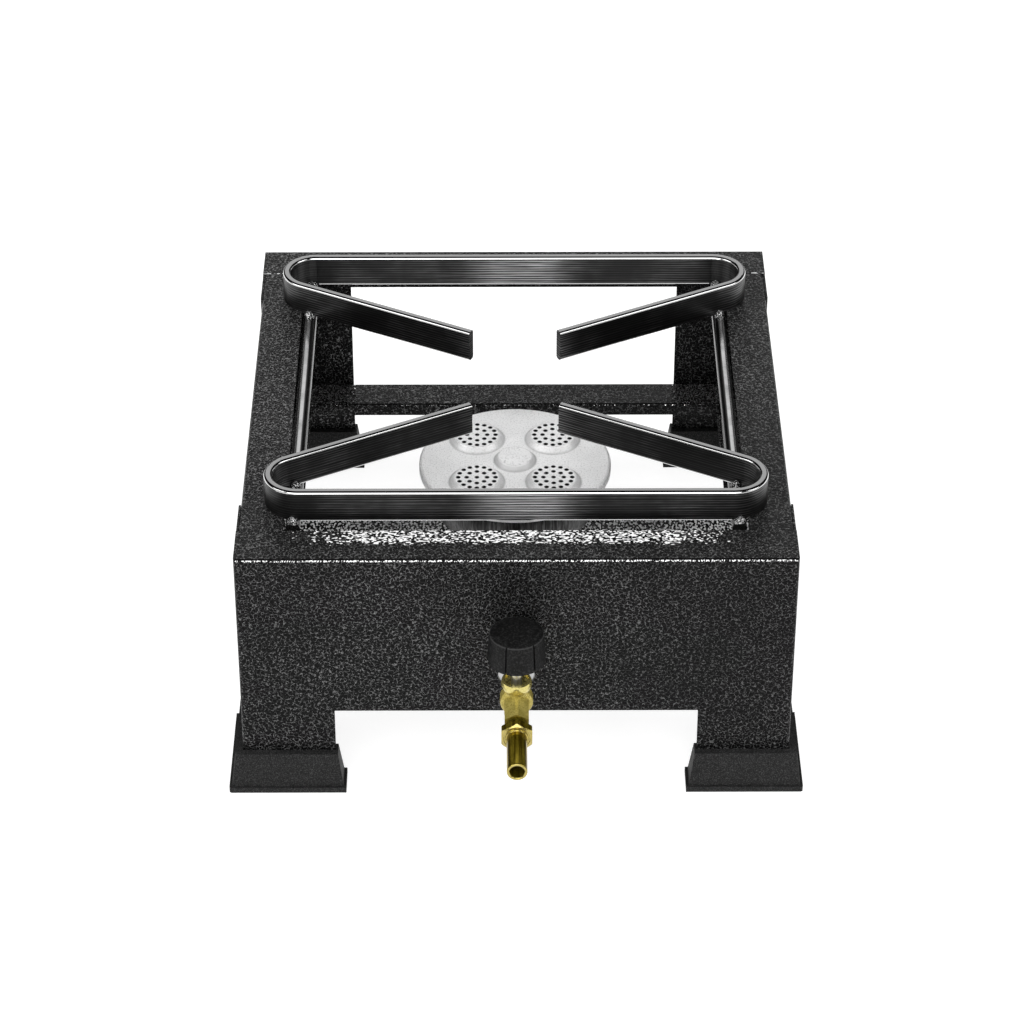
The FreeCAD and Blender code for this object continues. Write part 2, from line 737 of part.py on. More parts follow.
def knob():
    """Moulded knob: grooved wall, crowned top, hollow underside and a hub with a flatted socket."""
    base = vec(0, tap_axis_y, knob_bottom)
    wall_top = knob_wall_height
    side = [vec(0, 0, 0), vec(knob_radius, 0, 0), vec(knob_top_radius, 0, wall_top)]
    crown = vec(0, 0, wall_top + knob_crown)
    crown_radius = (knob_top_radius ** 2 + knob_crown ** 2) / (2 * knob_crown)
    half_angle = math.asin(knob_top_radius / crown_radius) / 2
    shoulder = crown + vec(math.sin(half_angle), 0, math.cos(half_angle) - 1) * crown_radius
    face = closed_face([line(side[0], side[1]), line(side[1], side[2]), arc(side[2], shoulder, crown),
                        line(crown, side[0])])
    body = face.revolve(vec(0, 0), Z, 360)
    rim = edges_where(body, lambda e: at_height(e, wall_top))
    body = body.makeFillet(knob_edge_radius, rim)
    for i in range(flute_count):
        half = flute_width / 2
        groove = box(-half, half, knob_radius - flute_depth, knob_radius + over, -over, wall_top)
        groove.rotate(vec(0, 0), Z, 180 + flute_turn + 360 / flute_count * i)
        body = body.cut(groove)
    ring = rod(vec(0, 0, -over), Z, knob_skirt_depth + over, knob_radius - flute_depth - knob_wall)
    ring = ring.cut(rod(vec(0, 0, -over), Z, knob_skirt_depth + over, knob_hub_radius))
    hole = spindle_radius + spindle_fit
    socket = rod(vec(0, 0, -over), Z, knob_socket + spindle_fit + over, hole)
    flat_face = spindle_radius - spindle_flat + spindle_fit
    socket = socket.cut(box(-hole, hole, flat_face, hole, 0, knob_socket + over))
    body = body.cut(ring).cut(socket)
    body.translate(base)
    return body


def build():
    foot = front_right_foot()
    bar = support_bar()
    bars = [bar, half_turn(bar)]
    rods = [support_rod(-1), support_rod(1)]
    side = right_side_panel()
    return {
        "front_panel": front_panel(),
        "rear_panel": rear_panel(),
        "left_side_panel": mirrored(side),
        "right_side_panel": side,
        "burner_crossbar": burner_crossbar(),
        "rear_crossbar": rear_crossbar(),
        "foot_front_left": mirrored(foot),
        "foot_front_right": foot,
        "foot_rear_left": half_turn(foot),
        "foot_rear_right": half_turn(mirrored(foot)),
        "support_front_bar": bars[0],
        "support_rear_bar": bars[1],
        "support_left_rod": rods[0],
        "support_right_rod": rods[1],
        "support_welds": support_welds(bars),
        "burner_bowl": burner_bowl(),
        "mixing_tube": mixing_tube(),
        "burner_cap": burner_cap(),
        "burner_bolt": burner_bolt(),
        "burner_washer": burner_washer(),
        "air_shutter": air_shutter(),
        "valve_lock_nut": valve_lock_nut(),
        "valve_body": valve_body(),
        "valve_plug": valve_plug(),
        "valve_spring": valve_spring(),
        "valve_bonnet": valve_bonnet(),
        "valve_spindle": valve_spindle(),
        "knob": knob(),
        "injector": injector(),
        "hose_nipple": hose_nipple(),
        "nipple_gasket": nipple_gasket(),
    }


os.makedirs("parts", exist_ok=True)
for name, shape in build().items():
    shape.exportStep("parts/" + name + ".step")
    box_of = shape.BoundBox
    print(f"{name:20s} solids {len(shape.Solids)} valid {shape.isValid()} volume {shape.Volume:10.1f}"
          f" z {box_of.ZMin:7.2f} {box_of.ZMax:7.2f} y {box_of.YMin:8.2f} {box_of.YMax:8.2f}"
          f" x {box_of.XMin:8.2f} {box_of.XMax:8.2f}")
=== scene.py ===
"""Looks of a single burner gas stove: finishes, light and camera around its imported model. Metres, +Z up."""
import json
import math

import bpy
from mathutils import Matrix, Vector


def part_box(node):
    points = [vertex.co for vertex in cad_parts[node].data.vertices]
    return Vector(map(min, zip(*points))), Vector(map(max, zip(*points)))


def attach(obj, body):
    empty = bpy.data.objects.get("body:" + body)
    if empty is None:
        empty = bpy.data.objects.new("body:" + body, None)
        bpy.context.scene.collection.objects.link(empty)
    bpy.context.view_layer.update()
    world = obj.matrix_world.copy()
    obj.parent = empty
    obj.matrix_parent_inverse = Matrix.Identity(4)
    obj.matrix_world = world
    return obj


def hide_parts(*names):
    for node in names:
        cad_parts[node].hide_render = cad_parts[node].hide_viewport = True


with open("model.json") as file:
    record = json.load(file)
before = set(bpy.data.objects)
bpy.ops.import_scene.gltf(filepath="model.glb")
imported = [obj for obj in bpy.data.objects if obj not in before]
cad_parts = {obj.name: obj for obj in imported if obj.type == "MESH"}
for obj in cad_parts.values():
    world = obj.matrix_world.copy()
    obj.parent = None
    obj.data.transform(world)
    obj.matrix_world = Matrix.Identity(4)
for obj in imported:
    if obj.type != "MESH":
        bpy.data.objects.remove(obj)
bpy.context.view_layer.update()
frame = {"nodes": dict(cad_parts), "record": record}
nodes = frame["nodes"]

# Camera of the photograph: place, view angles in radians, lens and sensor in millimetres
CAMERA_PLACE = Vector((-0.00873, -1.64511, 1.22046))
CAMERA_PITCH = math.radians(34.93885)
CAMERA_YAW = 0.0042573
CAMERA_ROLL = -0.0005558
CAMERA_LENS = 121.73577
SENSOR_WIDTH = 36.0
CLIP_START = 0.01

# Burner cap: inner radius of its skirt, place of a dome along X and Y, feet and rims of domes and button
CAP_SKIRT_INSIDE = 0.053
DOME_PLACE = 0.02178
DOME_FOOT = 0.0158
DOME_RIM = 0.0128
BUTTON_FOOT = 0.0120
BUTTON_RIM = 0.0097

# Rings of painted shade on the cap, as reach inward and outward from a foot or a rim and soft edge, and its
# walls with painted shade
FOOT_RING = (0.0006, 0.0004, 0.0007)
RIM_RING = (0.0004, 0.0002, 0.0004)
DOME_WALL_INSET = 0.0004
BUTTON_WALL_INSET = 0.0003
WALL_FADE = 0.0005
SKIRT_FADE = 0.001

# Flame holes of a dome: radius, painted shade round them and its soft edge, and radius and count of each ring
HOLE_RADIUS = 0.00105
HOLE_SHADE = 0.0003
HOLE_SHADE_FADE = 0.0001
HOLE_RINGS = ((0.0058, 8), (0.0106, 16))

# Tap: height of its gas way, and front end of the body's hexagon, where its neck starts
TAP_HEIGHT = 0.0746
NECK = -0.2028
NECK_FADE = 0.0002

# Hose nipple: collar, groove turned into its face, tail, bores and shank
COLLAR_SIDES = 6
COLLAR_FLATS = 0.0164
COLLAR_CORNER = 0.0092
COLLAR_LENGTH = 0.0052
COLLAR_FACE_RADIUS = 0.0077
COLLAR_CHAMFER = 0.0010
GROOVE_OUTSIDE = 0.00705
GROOVE_INSIDE = 0.0061
GROOVE_DEPTH = 0.0003
GROOVE_SLOPE = 0.0002
TAIL_LENGTH = 0.0280
TAIL_RADIUS = 0.00545
TAIL_FILLET = 0.0003
MOUTH_LIP = 0.0006
TAIL_BORE = 0.00395
TAIL_BORE_DEPTH = 0.0316
BORE_CHAMFER = 0.00035
GAS_BORE = 0.0024
SHANK_RADIUS = 0.0039

# Hose nipple: points in a ring, steps in the collar's chamfer and in the lip, and least angle of a sharp edge
TAIL_STEPS = 144
CHAMFER_STEPS = 6
LIP_STEPS = 6
SHARP_ANGLE = math.radians(26)

# Paint of the frame: cells per metre, how far and how finely their edges wander, and height of their relief
CELL_SCALE = 500.0
CELL_WANDER = 0.0018
WANDER_SCALE = 760.0
CELL_RELIEF = 0.00022

# Paint of the frame: greys of cells and flakes on upright sheet and on level sheet, where they are lighter as
# a painted sheen, of the painted sparkle highlights of flakes, and their thinning
CELL_UPRIGHT = 0.002
CELL_LEVEL_SHEEN = 0.008
FLAKE_UPRIGHT = 0.25
FLAKE_LEVEL_SHEEN = 0.36
FLAKE_SPARKLE = 0.94
FLAKE_THINNING = 0.3

# Paint of the frame: painted shade that darkens the flakes toward the right, as their share at the left and
# at the right, and where the change starts and ends
VEINS_LIT_LEFT = 0.94
VEINS_SHADED_RIGHT = 0.62
VEIN_SHADE_START = -0.06
VEIN_SHADE_END = 0.12

# Strip of the front flange beside the bar, painted with sparkle highlights of the flakes: edges, their
# raggedness, and faded ends
STRIP_NEAR = -0.1428
STRIP_FAR = -0.122
STRIP_FADE = 0.0022
STRIP_RAGGED = 0.004
STRIP_HALF = 0.128
STRIP_END = 0.045

# Lower sheet: its top, where the flange above starts, where the painted fold highlights are weakest, gloss
# and corners full
LOW_TOP = 0.10
FLANGE_START = 0.12
FOLD_LOW = 0.08
GLOSS_LOW = 0.07
CORNER_LOW = 0.06

# Painted sparkle highlights of the flakes on the burner crossbar's top, on level sheet beside the rear legs,
# and at the rear panel's seams
CROSSBAR_TOP = 0.062
CROSSBAR_FAR = 0.05
CROSSBAR_FADE = 0.002
REAR_SHEET = 0.1
REAR_LEG = 0.098
LEG_FADE = 0.001
CORNER_SHARE = 0.7
SEAM = 0.1333
SEAM_HALF = 0.0005
SEAM_FADE = 0.0002
SEAM_INSIDE = 0.1247

# Sheet by its normal: level and flat faces (Z), front faces (Y), parts of folds with a painted highlight and
# with a painted dark reflection (Z)
LEVEL_FACE = (0.6, 0.95)
FLAT_FACE = (0.75, 0.9)
FRONT_FACE = (-0.1, -0.3)
FOLD_HIGHLIGHT = (0.35, 0.75, 0.1)
FOLD_DARK_REFLECTION = (0.80, 0.97, 0.03)

# Flat bar: stretch with a painted bright reflection, rolling lines in radians per metre, their sway, shares
# of coarse and fine
REFLECTION_LEFT = -0.020
REFLECTION_RIGHT = 0.026
REFLECTION_FADE = 0.016
RIB_RATE = 3900.0
RIB_SWAY = 7.0
RIB_SHARE = 0.3
LINE_SHARE = 0.7

# Flat bar by its normal along Z: edges with a painted highlight, a painted dark reflection on their rounding
# with its soft edge, and their tops
LIT_EDGE = (0.12, 0.3)
EDGE_DARK_REFLECTION = (0.64, 0.972, 0.02)
EDGE_TOP = (0.975, 0.992)

# Greys of the flat bar: dark and bright lines, bright ones in the painted reflection, painted highlights of
# edges and of their tops, and painted dark reflection
BAR_DARK = 0.035
BAR_BRIGHT = 0.5
BAR_REFLECTION = 0.8
BAR_EDGE_HIGHLIGHT = 0.7
BAR_TOP_HIGHLIGHT = 0.4
BAR_DARK_REFLECTION = 0.012

# Greys of rods, clean, with stains and darker on the side to the burner, of welds and of the bowl
ROD_CLEAN = 0.66
ROD_STAINED = 0.46
ROD_DARK_SIDE = 0.03
ROD_INSIDE = (-0.3, -0.12)
WELD_DARK = 0.03
WELD_FLECK = 0.7
IRON_DARK = 0.02
IRON_LIGHT = 0.16

# Burner cap: greys of its clouds and grain, of painted shade on its walls, feet and rims, in its holes and on
# its underside, and its underside by the normal along Z
CAP_DIM = 0.80
CAP_BRIGHT = 0.87
CAP_GRAIN = 0.56
CAP_WALL_SHADE = 0.42
CAP_FOOT_SHADE = 0.30
CAP_RIM_SHADE = 0.48
CAP_SHADE = 0.01
CAP_UNDERSIDE = (0.5, 0.3)

# Turned brass: marks drawn together outward and drawn out along the axis, and faces to the front along Y,
# which take a painted highlight
MARKS_OUTWARD = 5.0
MARKS_ALONG = 0.05
TURNED_FRONT = (-0.5, -0.85)

# Tones of brass, zinc and fibre
TURNED_DARK = (0.115, 0.078, 0.001, 1)
TURNED_LIGHT = (0.44, 0.34, 0.03, 1)
# Paler tone of the painted highlight on turned faces to the front
TURNED_FACE_HIGHLIGHT = (0.58, 0.49, 0.19, 1)
CUP_DARK = (0.50, 0.42, 0.11, 1)
CUP_LIGHT = (0.80, 0.71, 0.31, 1)
CAST_DARK = (0.39, 0.32, 0.07, 1)
CAST_LIGHT = (0.53, 0.44, 0.12, 1)
CAST_GRAIN = (0.25, 0.19, 0.03, 1)
# Painted shade on the tap's neck
NECK_SHADE_DARK = (0.10, 0.075, 0.002, 1)
NECK_SHADE_LIGHT = (0.22, 0.17, 0.012, 1)
ZINC_DARK = (0.42, 0.43, 0.44, 1)
ZINC_LIGHT = (0.58, 0.58, 0.58, 1)
FIBRE_DARK = (0.030, 0.022, 0.010, 1)
FIBRE_LIGHT = (0.075, 0.055, 0.022, 1)

# Black plastic: grey and grains per metre of shoes and knob, factors for wear, grain and the painted
# highlight on edges, edges along Z
SHOE_PLASTIC = (0.011, 1700)
KNOB_PLASTIC = (0.0045, 900)
WEAR_DARK = 0.3
WEAR_LIGHT = 0.6
GRAIN_LIGHT = 4.0
EDGE_HIGHLIGHT = 6.0
ROUNDED_EDGE = (0.4, 0.85, 0.1)

# Stage
FLOOR_HALF = 8.0
FLOOR_GREY = 0.4
FLOOR_GLOW = 0.84
HORIZON_LIGHT = 1.0
SKY_LIGHT = 0.05
HORIZON_TOP = 0.22
HORIZON_FADE = 0.16
SOFTBOXES = (
    # direction to the softbox, cosine of its edge, softness of that edge, radiance
    ((-0.10, -0.85, 0.515), 0.892, 0.022, 3.4),
    ((0.0, 0.89, 0.46), 0.93, 0.03, 0.8),
    ((-0.72, -0.22, 0.66), 0.94, 0.03, 4.6),
    ((0.72, -0.22, 0.66), 0.94, 0.03, 4.2),
)

# Node trees: usual range of a noise, and a Mix node's sockets for two values and for their mix
NOISE_LOW = 0.3
NOISE_HIGH = 0.7
NUMBER_SOCKETS = (2, 3, 0)
COLOUR_SOCKETS = (6, 7, 2)


class Tree:
    """Short way to write a node tree."""

    def __init__(self, tree):
        self.tree = tree
        self.tree.nodes.clear()

    def add(self, kind, inputs=None, **settings):
        node = self.tree.nodes.new("ShaderNode" + kind)
        for name, value in settings.items():
            setattr(node, name, value)
        for key, value in (inputs or {}).items():
            self.put(node.inputs[key], value)
        return node

    def put(self, socket, value):
        if isinstance(value, bpy.types.NodeSocket):
            self.tree.links.new(value, socket)
        else:
            socket.default_value = value

    def maths(self, operation, first, second=0.0):
        return self.add("Math", {0: first, 1: second}, operation=operation).outputs[0]

    def plus(self, first, second):
        return self.maths("ADD", first, second)

    def minus(self, first, second):
        return self.maths("SUBTRACT", first, second)

    def times(self, first, *others):
        for other in others:
            first = self.maths("MULTIPLY", first, other)
        return first

    def most(self, first, *others):
        for other in others:
            first = self.maths("MAXIMUM", first, other)
        return first

    def invert(self, value):
        """One less a value."""
        return self.minus(1.0, value)

    def vector(self, operation, first, second=(0, 0, 0)):
        """Operation on vectors; its results are Vector and Value."""
        return self.add("VectorMath", {0: first, 1: second}, operation=operation).outputs

    def remap(self, value, low, high, to_low=0.0, to_high=1.0):
        """Smooth step from one range to another."""
        inputs = {"Value": value, "From Min": low, "From Max": high, "To Min": to_low, "To Max": to_high}
        return self.add("MapRange", inputs, interpolation_type="SMOOTHSTEP").outputs["Result"]

    def spread(self, noise, to_low=0.0, to_high=1.0):
        """A noise's usual range drawn out to another."""
        return self.remap(noise, NOISE_LOW, NOISE_HIGH, to_low, to_high)

    def band(self, value, low, high, fade):
        """One between the limits, with soft ends."""
        rise = self.remap(value, low - fade, low + fade)
        fall = self.remap(value, high - fade, high + fade, 1.0, 0.0)
        return self.times(rise, fall)

    def ring(self, distance, radius, inward, outward, fade):
        """One near a radius, with soft edges."""
        return self.band(distance, radius - inward, radius + outward, fade)

    def mix(self, kind, sockets, factor, first, second):
        node = self.add("Mix", {"Factor": factor}, data_type=kind)
        self.put(node.inputs[sockets[0]], first)
        self.put(node.inputs[sockets[1]], second)
        return node.outputs[sockets[2]]

    def blend(self, factor, first, second):
        """Colour between two others."""
        return self.mix("RGBA", COLOUR_SOCKETS, factor, first, second)

    def share(self, factor, first, second):
        """Number between two others."""
        return self.mix("FLOAT", NUMBER_SOCKETS, factor, first, second)

    def axes(self, vector):
        """Parts of a vector along X, Y and Z."""
        return self.add("SeparateXYZ", {"Vector": vector}).outputs

    def spot(self):
        """Place on the object along X, Y and Z."""
        return self.axes(self.add("TexCoord").outputs["Object"])

    def facing(self):
        """Parts of the object's own normal along X, Y and Z."""
        return self.axes(self.add("TexCoord").outputs["Normal"])

    def place(self, stretch=(1, 1, 1)):
        """Place on the object for a texture, which a small number draws out along its axis."""
        where = self.add("TexCoord").outputs["Object"]
        return self.add("Mapping", {"Vector": where, "Scale": stretch}).outputs[0]

    def noise(self, where, scale, detail=2.0, roughness=0.5):
        inputs = {"Vector": where, "Scale": scale, "Detail": detail, "Roughness": roughness}
        return self.add("TexNoise", inputs).outputs[0]

    def bump(self, height, distance, strength):
        return self.add("Bump", {"Height": height, "Distance": distance, "Strength": strength}).outputs[0]

    def surface(self, **inputs):
        """Principled surface; constants sit on its own sockets."""
        named = {key.replace("_", " "): value for key, value in inputs.items()}
        shader = self.add("BsdfPrincipled", named)
        self.add("OutputMaterial", {"Surface": shader.outputs[0]})


def grey(value):
    return (value, value, value, 1.0)


def new_material(name):
    material = bpy.data.materials.new(name)
    material.use_nodes = True
    return material, Tree(material.node_tree)


def hammer_paint():
    """Dark enamel that dries to glossy black cells between thin grey metallic veins, with a painted sheen,
    painted sparkle highlights and a painted dark reflection.
    """
    material, t = new_material("hammer_paint")
    _, y, z = t.spot()
    side = t.facing()
    edge = cell_edges(t)
    vein = paint_veins(t, edge)
    level = t.remap(side["Z"], *LEVEL_FACE)
    to_front = t.remap(side["Y"], *FRONT_FACE)
    # Painted dark reflection: a near-black line along the top of the front folds
    dark_fold_reflection = t.times(t.band(side["Z"], *FOLD_DARK_REFLECTION), to_front)
    # Painted highlights: places where flakes sparkle, on the front folds and on level sheet
    shine = t.most(t.times(front_fold(t), to_front), t.times(level, sparkle_places(t)))
    sparkle_mark = flake_sparkles(t, shine)
    low = t.times(t.remap(z, LOW_TOP, GLOSS_LOW), t.remap(y, CROSSBAR_FAR, REAR_SHEET))
    mirror = t.times(sparkle_mark, low)
    # Painted sheen: cells and flakes on level sheet are lighter than on upright sheet
    cell = t.blend(t.times(level, t.invert(shine)), grey(CELL_UPRIGHT), grey(CELL_LEVEL_SHEEN))
    flake = t.blend(level, grey(FLAKE_UPRIGHT), grey(FLAKE_LEVEL_SHEEN))
    colour = t.blend(dark_fold_reflection, t.blend(vein, cell, flake), grey(CELL_UPRIGHT))
    # Painted highlight: flakes in the sparkle marks turn near-white
    colour = t.blend(sparkle_mark, colour, grey(FLAKE_SPARKLE))
    metal = t.share(sparkle_mark, t.times(vein, t.invert(dark_fold_reflection)), low)
    rough = t.remap(mirror, 0.0, 1.0, 0.27, 0.08)
    relief = t.bump(t.remap(edge, 0.0, 0.4), CELL_RELIEF, t.remap(mirror, 0.0, 1.0, 0.9, 0.1))
    t.surface(Base_Color=colour, Metallic=metal, Roughness=rough, Normal=relief, Specular_IOR_Level=0.08)
    return material


def cell_edges(t):
    """Distance from the wandering edges of the paint's cells."""
    where = t.place()
    noise = t.add("TexNoise", {"Vector": where, "Scale": WANDER_SCALE, "Detail": 1.0})
    wander = t.vector("SUBTRACT", noise.outputs["Color"], (0.5, 0.5, 0.5))["Vector"]
    shift = t.vector("MULTIPLY", wander, (CELL_WANDER, CELL_WANDER, CELL_WANDER))["Vector"]
    bent = t.vector("ADD", where, shift)["Vector"]
    cells = t.add("TexVoronoi", {"Vector": bent, "Scale": CELL_SCALE}, feature="DISTANCE_TO_EDGE")
    return cells.outputs["Distance"]


def paint_veins(t, edge):
    """Flakes along the edges of the cells, broken, clouded, and darkened toward the right by painted shade.
    """
    where = t.place()
    broken = t.remap(t.noise(where, scale=600, detail=1), 0.41, 0.63, 0.06, 1.0)
    cloud = t.remap(t.noise(where, scale=16, detail=4, roughness=0.6), 0.35, 0.65, 0.72, 1.0)
    # Painted shade: the flakes darken from the left toward the right
    flakes = t.remap(t.spot()["X"], VEIN_SHADE_START, VEIN_SHADE_END, VEINS_LIT_LEFT, VEINS_SHADED_RIGHT)
    return t.times(t.remap(edge, 0.085, 0.0), broken, cloud, flakes)


def flake_sparkles(t, shine):
    """Painted sparkle highlights of the flakes: beads on folds, specks low in the frame and streaks on the
    flange above.
    """
    beads = t.noise(t.place((1.5, 1, 1)), scale=1050, detail=0)
    specks = t.noise(t.place((1, 0.6, 1)), scale=800, detail=0)
    streaks = t.noise(t.place((0.62, 1, 1)), scale=1050, detail=0)
    on_level = t.share(t.remap(t.spot()["Z"], LOW_TOP, FLANGE_START), specks, streaks)
    pattern = t.share(t.remap(t.facing()["Z"], *FLAT_FACE), beads, on_level)
    thinned = t.times(t.invert(shine), FLAKE_THINNING)
    return t.times(t.remap(t.minus(pattern, thinned), 0.50, 0.57), t.remap(shine, 0.0, 0.1))


def front_fold(t):
    """Painted highlight: one on the rounded folds of the sheet, weaker low in the frame."""
    fold = t.band(t.facing()["Z"], *FOLD_HIGHLIGHT)
    return t.times(fold, t.remap(t.spot()["Z"], FOLD_LOW, FLANGE_START, 0.2, 1.0))


def sparkle_places(t):
    """Where sparkle highlights are painted: one beside the front bar, on the burner crossbar's top and at the
    seams of the rear corners.
    """
    x, y, z = t.spot()
    across = t.maths("ABSOLUTE", x)
    ragged = t.plus(y, t.times(t.noise(t.place(), scale=120, detail=2), STRIP_RAGGED))
    strip = t.times(t.remap(across, STRIP_HALF, STRIP_HALF - STRIP_END),
                    t.band(ragged, STRIP_NEAR, STRIP_FAR, STRIP_FADE))
    crossbar = t.times(t.remap(z, CROSSBAR_TOP + CROSSBAR_FADE, CROSSBAR_TOP),
                       t.remap(y, CROSSBAR_FAR, CROSSBAR_FAR - CROSSBAR_FADE))
    seam = t.times(t.band(y, SEAM - SEAM_HALF, SEAM + SEAM_HALF, SEAM_FADE),
                   t.remap(across, SEAM_INSIDE, SEAM_INSIDE + LEG_FADE))
    corner = t.times(t.remap(across, REAR_LEG - LEG_FADE, REAR_LEG + LEG_FADE),
                     t.remap(z, LOW_TOP, CORNER_LOW), t.remap(y, CROSSBAR_FAR, REAR_SHEET), CORNER_SHARE)
    return t.most(strip, corner, crossbar, seam)


def support_steel():
    """Flat bar with dark rolled faces and fine lines along them, a painted bright reflection in the middle,
    painted highlights on its edges and a painted dark reflection on their rounding.
    """
    material, t = new_material("support_steel")
    x, _, z = t.spot()
    up = t.facing()["Z"]
    sway = t.noise(t.place((0.03, 0.03, 1)), scale=300, detail=2, roughness=0.5)
    ribs = t.maths("SINE", t.plus(t.times(z, RIB_RATE), t.times(sway, RIB_SWAY)))
    lines = t.noise(t.place((0.02, 0.02, 1)), scale=2200, detail=3, roughness=0.6)
    smudge = t.noise(t.place(), scale=30, detail=3, roughness=0.55)
    tone = t.plus(t.times(t.remap(ribs, 0.4, 1.0), RIB_SHARE), t.times(lines, LINE_SHARE))
    # Painted reflection: a bright stretch in the middle of the bars, with random smudges
    middle = t.band(x, REFLECTION_LEFT, REFLECTION_RIGHT, REFLECTION_FADE)
    smudge_and_reflection = t.plus(middle, t.remap(smudge, 0.4, 0.7, 0.1, 0.55))
    bright = t.blend(middle, grey(BAR_BRIGHT), grey(BAR_REFLECTION))
    face = t.blend(t.times(t.remap(tone, 0.25, 0.85), smudge_and_reflection), grey(BAR_DARK), bright)
    # Painted highlight: the edges and their tops are light grey
    lit_edge = t.remap(t.maths("ABSOLUTE", up), *LIT_EDGE)
    # Painted dark reflection: a near-black band on the rounding of the edges
    scale = t.band(up, *EDGE_DARK_REFLECTION)
    edge = t.blend(t.remap(up, *EDGE_TOP), grey(BAR_EDGE_HIGHLIGHT), grey(BAR_TOP_HIGHLIGHT))
    colour = t.blend(scale, t.blend(lit_edge, face, edge), grey(BAR_DARK_REFLECTION))
    metal = t.remap(t.times(middle, t.invert(lit_edge)), 0.0, 1.0, 1.0, 0.6)
    t.surface(Base_Color=colour, Metallic=metal, Roughness=t.remap(lit_edge, 0.0, 1.0, 0.34, 0.09),
              Normal=t.bump(tone, distance=0.00003, strength=0.4))
    return material


def rod_steel():
    """Bright drawn rod, darker on the side that faces the burner."""
    material, t = new_material("rod_steel")
    lines = t.noise(t.place((1, 0.02, 1)), scale=1500, detail=2, roughness=0.5)
    stain = t.noise(t.place(), scale=70, detail=4, roughness=0.6)
    outward = t.times(t.facing()["X"], t.maths("SIGN", t.spot()["X"]))
    bright = t.blend(t.remap(stain, 0.35, 0.75), grey(ROD_CLEAN), grey(ROD_STAINED))
    colour = t.blend(t.remap(outward, *ROD_INSIDE), grey(ROD_DARK_SIDE), bright)
    t.surface(Base_Color=colour, Metallic=1.0, Roughness=t.spread(stain, 0.14, 0.24),
              Normal=t.bump(lines, distance=0.00003, strength=0.4))
    return material


def weld_steel():
    """Crumbly weld metal, dark with bright flecks."""
    material, t = new_material("weld_steel")
    crumbs = t.noise(t.place(), scale=900, detail=3, roughness=0.7)
    flecks = t.noise(t.place(), scale=1400, detail=1, roughness=0.5)
    colour = t.blend(t.remap(flecks, 0.5, 0.6), grey(WELD_DARK), grey(WELD_FLECK))
    t.surface(Base_Color=colour, Metallic=1.0, Roughness=t.spread(crumbs, 0.2, 0.5),
              Normal=t.bump(crumbs, distance=0.0009, strength=1.0))
    return material


def burner_silver():
    """Matte silver pressing with a fine grain, with painted shade round its domes, in and round its holes and
    below.
    """
    material, t = new_material("burner_silver")
    where = t.place()
    across = t.vector("MULTIPLY", where, (1, 1, 0))["Vector"]
    radius = t.vector("LENGTH", across)["Value"]
    folded = t.vector("ABSOLUTE", across)["Vector"]
    from_dome = t.vector("SUBTRACT", folded, (DOME_PLACE, DOME_PLACE, 0))["Vector"]
    dome = t.vector("LENGTH", from_dome)["Value"]
    # Painted shade: dark rings at the feet and rims of the domes and button, and darker walls
    foot = t.most(t.ring(dome, DOME_FOOT, *FOOT_RING), t.ring(radius, BUTTON_FOOT, *FOOT_RING))
    rim = t.most(t.ring(dome, DOME_RIM, *RIM_RING), t.ring(radius, BUTTON_RIM, *RIM_RING))
    dome_wall = t.band(dome, DOME_RIM + DOME_WALL_INSET, DOME_FOOT - DOME_WALL_INSET, WALL_FADE)
    button_wall = t.band(radius, BUTTON_RIM + BUTTON_WALL_INSET, BUTTON_FOOT, WALL_FADE)
    wall = t.most(button_wall, t.times(dome_wall, 0.6))
    grain = t.noise(where, scale=1100, detail=3, roughness=0.65)
    cloud = t.noise(where, scale=55, detail=3, roughness=0.5)
    bright = t.blend(t.spread(cloud), grey(CAP_DIM), grey(CAP_BRIGHT))
    bright = t.blend(t.remap(grain, 0.50, 0.68), bright, grey(CAP_GRAIN))
    bright = t.blend(t.times(wall, 0.8), bright, grey(CAP_WALL_SHADE))
    bright = t.blend(t.times(foot, 0.65), bright, grey(CAP_FOOT_SHADE))
    bright = t.blend(t.times(rim, 0.4), bright, grey(CAP_RIM_SHADE))
    # Painted shade: the underside inside the skirt and the flame holes go near-black
    below = t.times(t.remap(t.facing()["Z"], *CAP_UNDERSIDE),
                    t.remap(radius, CAP_SKIRT_INSIDE, CAP_SKIRT_INSIDE - SKIRT_FADE))
    colour = t.blend(t.most(below, hole_shade(t, from_dome, dome)), bright, grey(CAP_SHADE))
    t.surface(Base_Color=colour, Metallic=0.18, Roughness=0.42,
              Normal=t.bump(grain, distance=0.00006, strength=0.5))
    return material


def hole_shade(t, from_dome, dome):
    """Painted shade: one in and close round every flame hole, by the place from the dome's middle and its
    distance.
    """
    x, y, _ = t.axes(from_dome)
    angle = t.maths("ARCTAN2", y, x)
    nearest = dome
    for ring_radius, count in HOLE_RINGS:
        turns = t.times(angle, count / (2 * math.pi))
        from_hole = t.times(t.minus(turns, t.maths("ROUND", turns)), 2 * math.pi / count)
        sideways = t.times(t.maths("SINE", from_hole), dome)
        along = t.minus(t.times(t.maths("COSINE", from_hole), dome), ring_radius)
        squares = t.plus(t.times(sideways, sideways), t.times(along, along))
        nearest = t.maths("MINIMUM", nearest, t.maths("SQRT", squares))
    return t.remap(nearest, HOLE_RADIUS + HOLE_SHADE + HOLE_SHADE_FADE, HOLE_RADIUS + HOLE_SHADE - HOLE_SHADE_FADE)


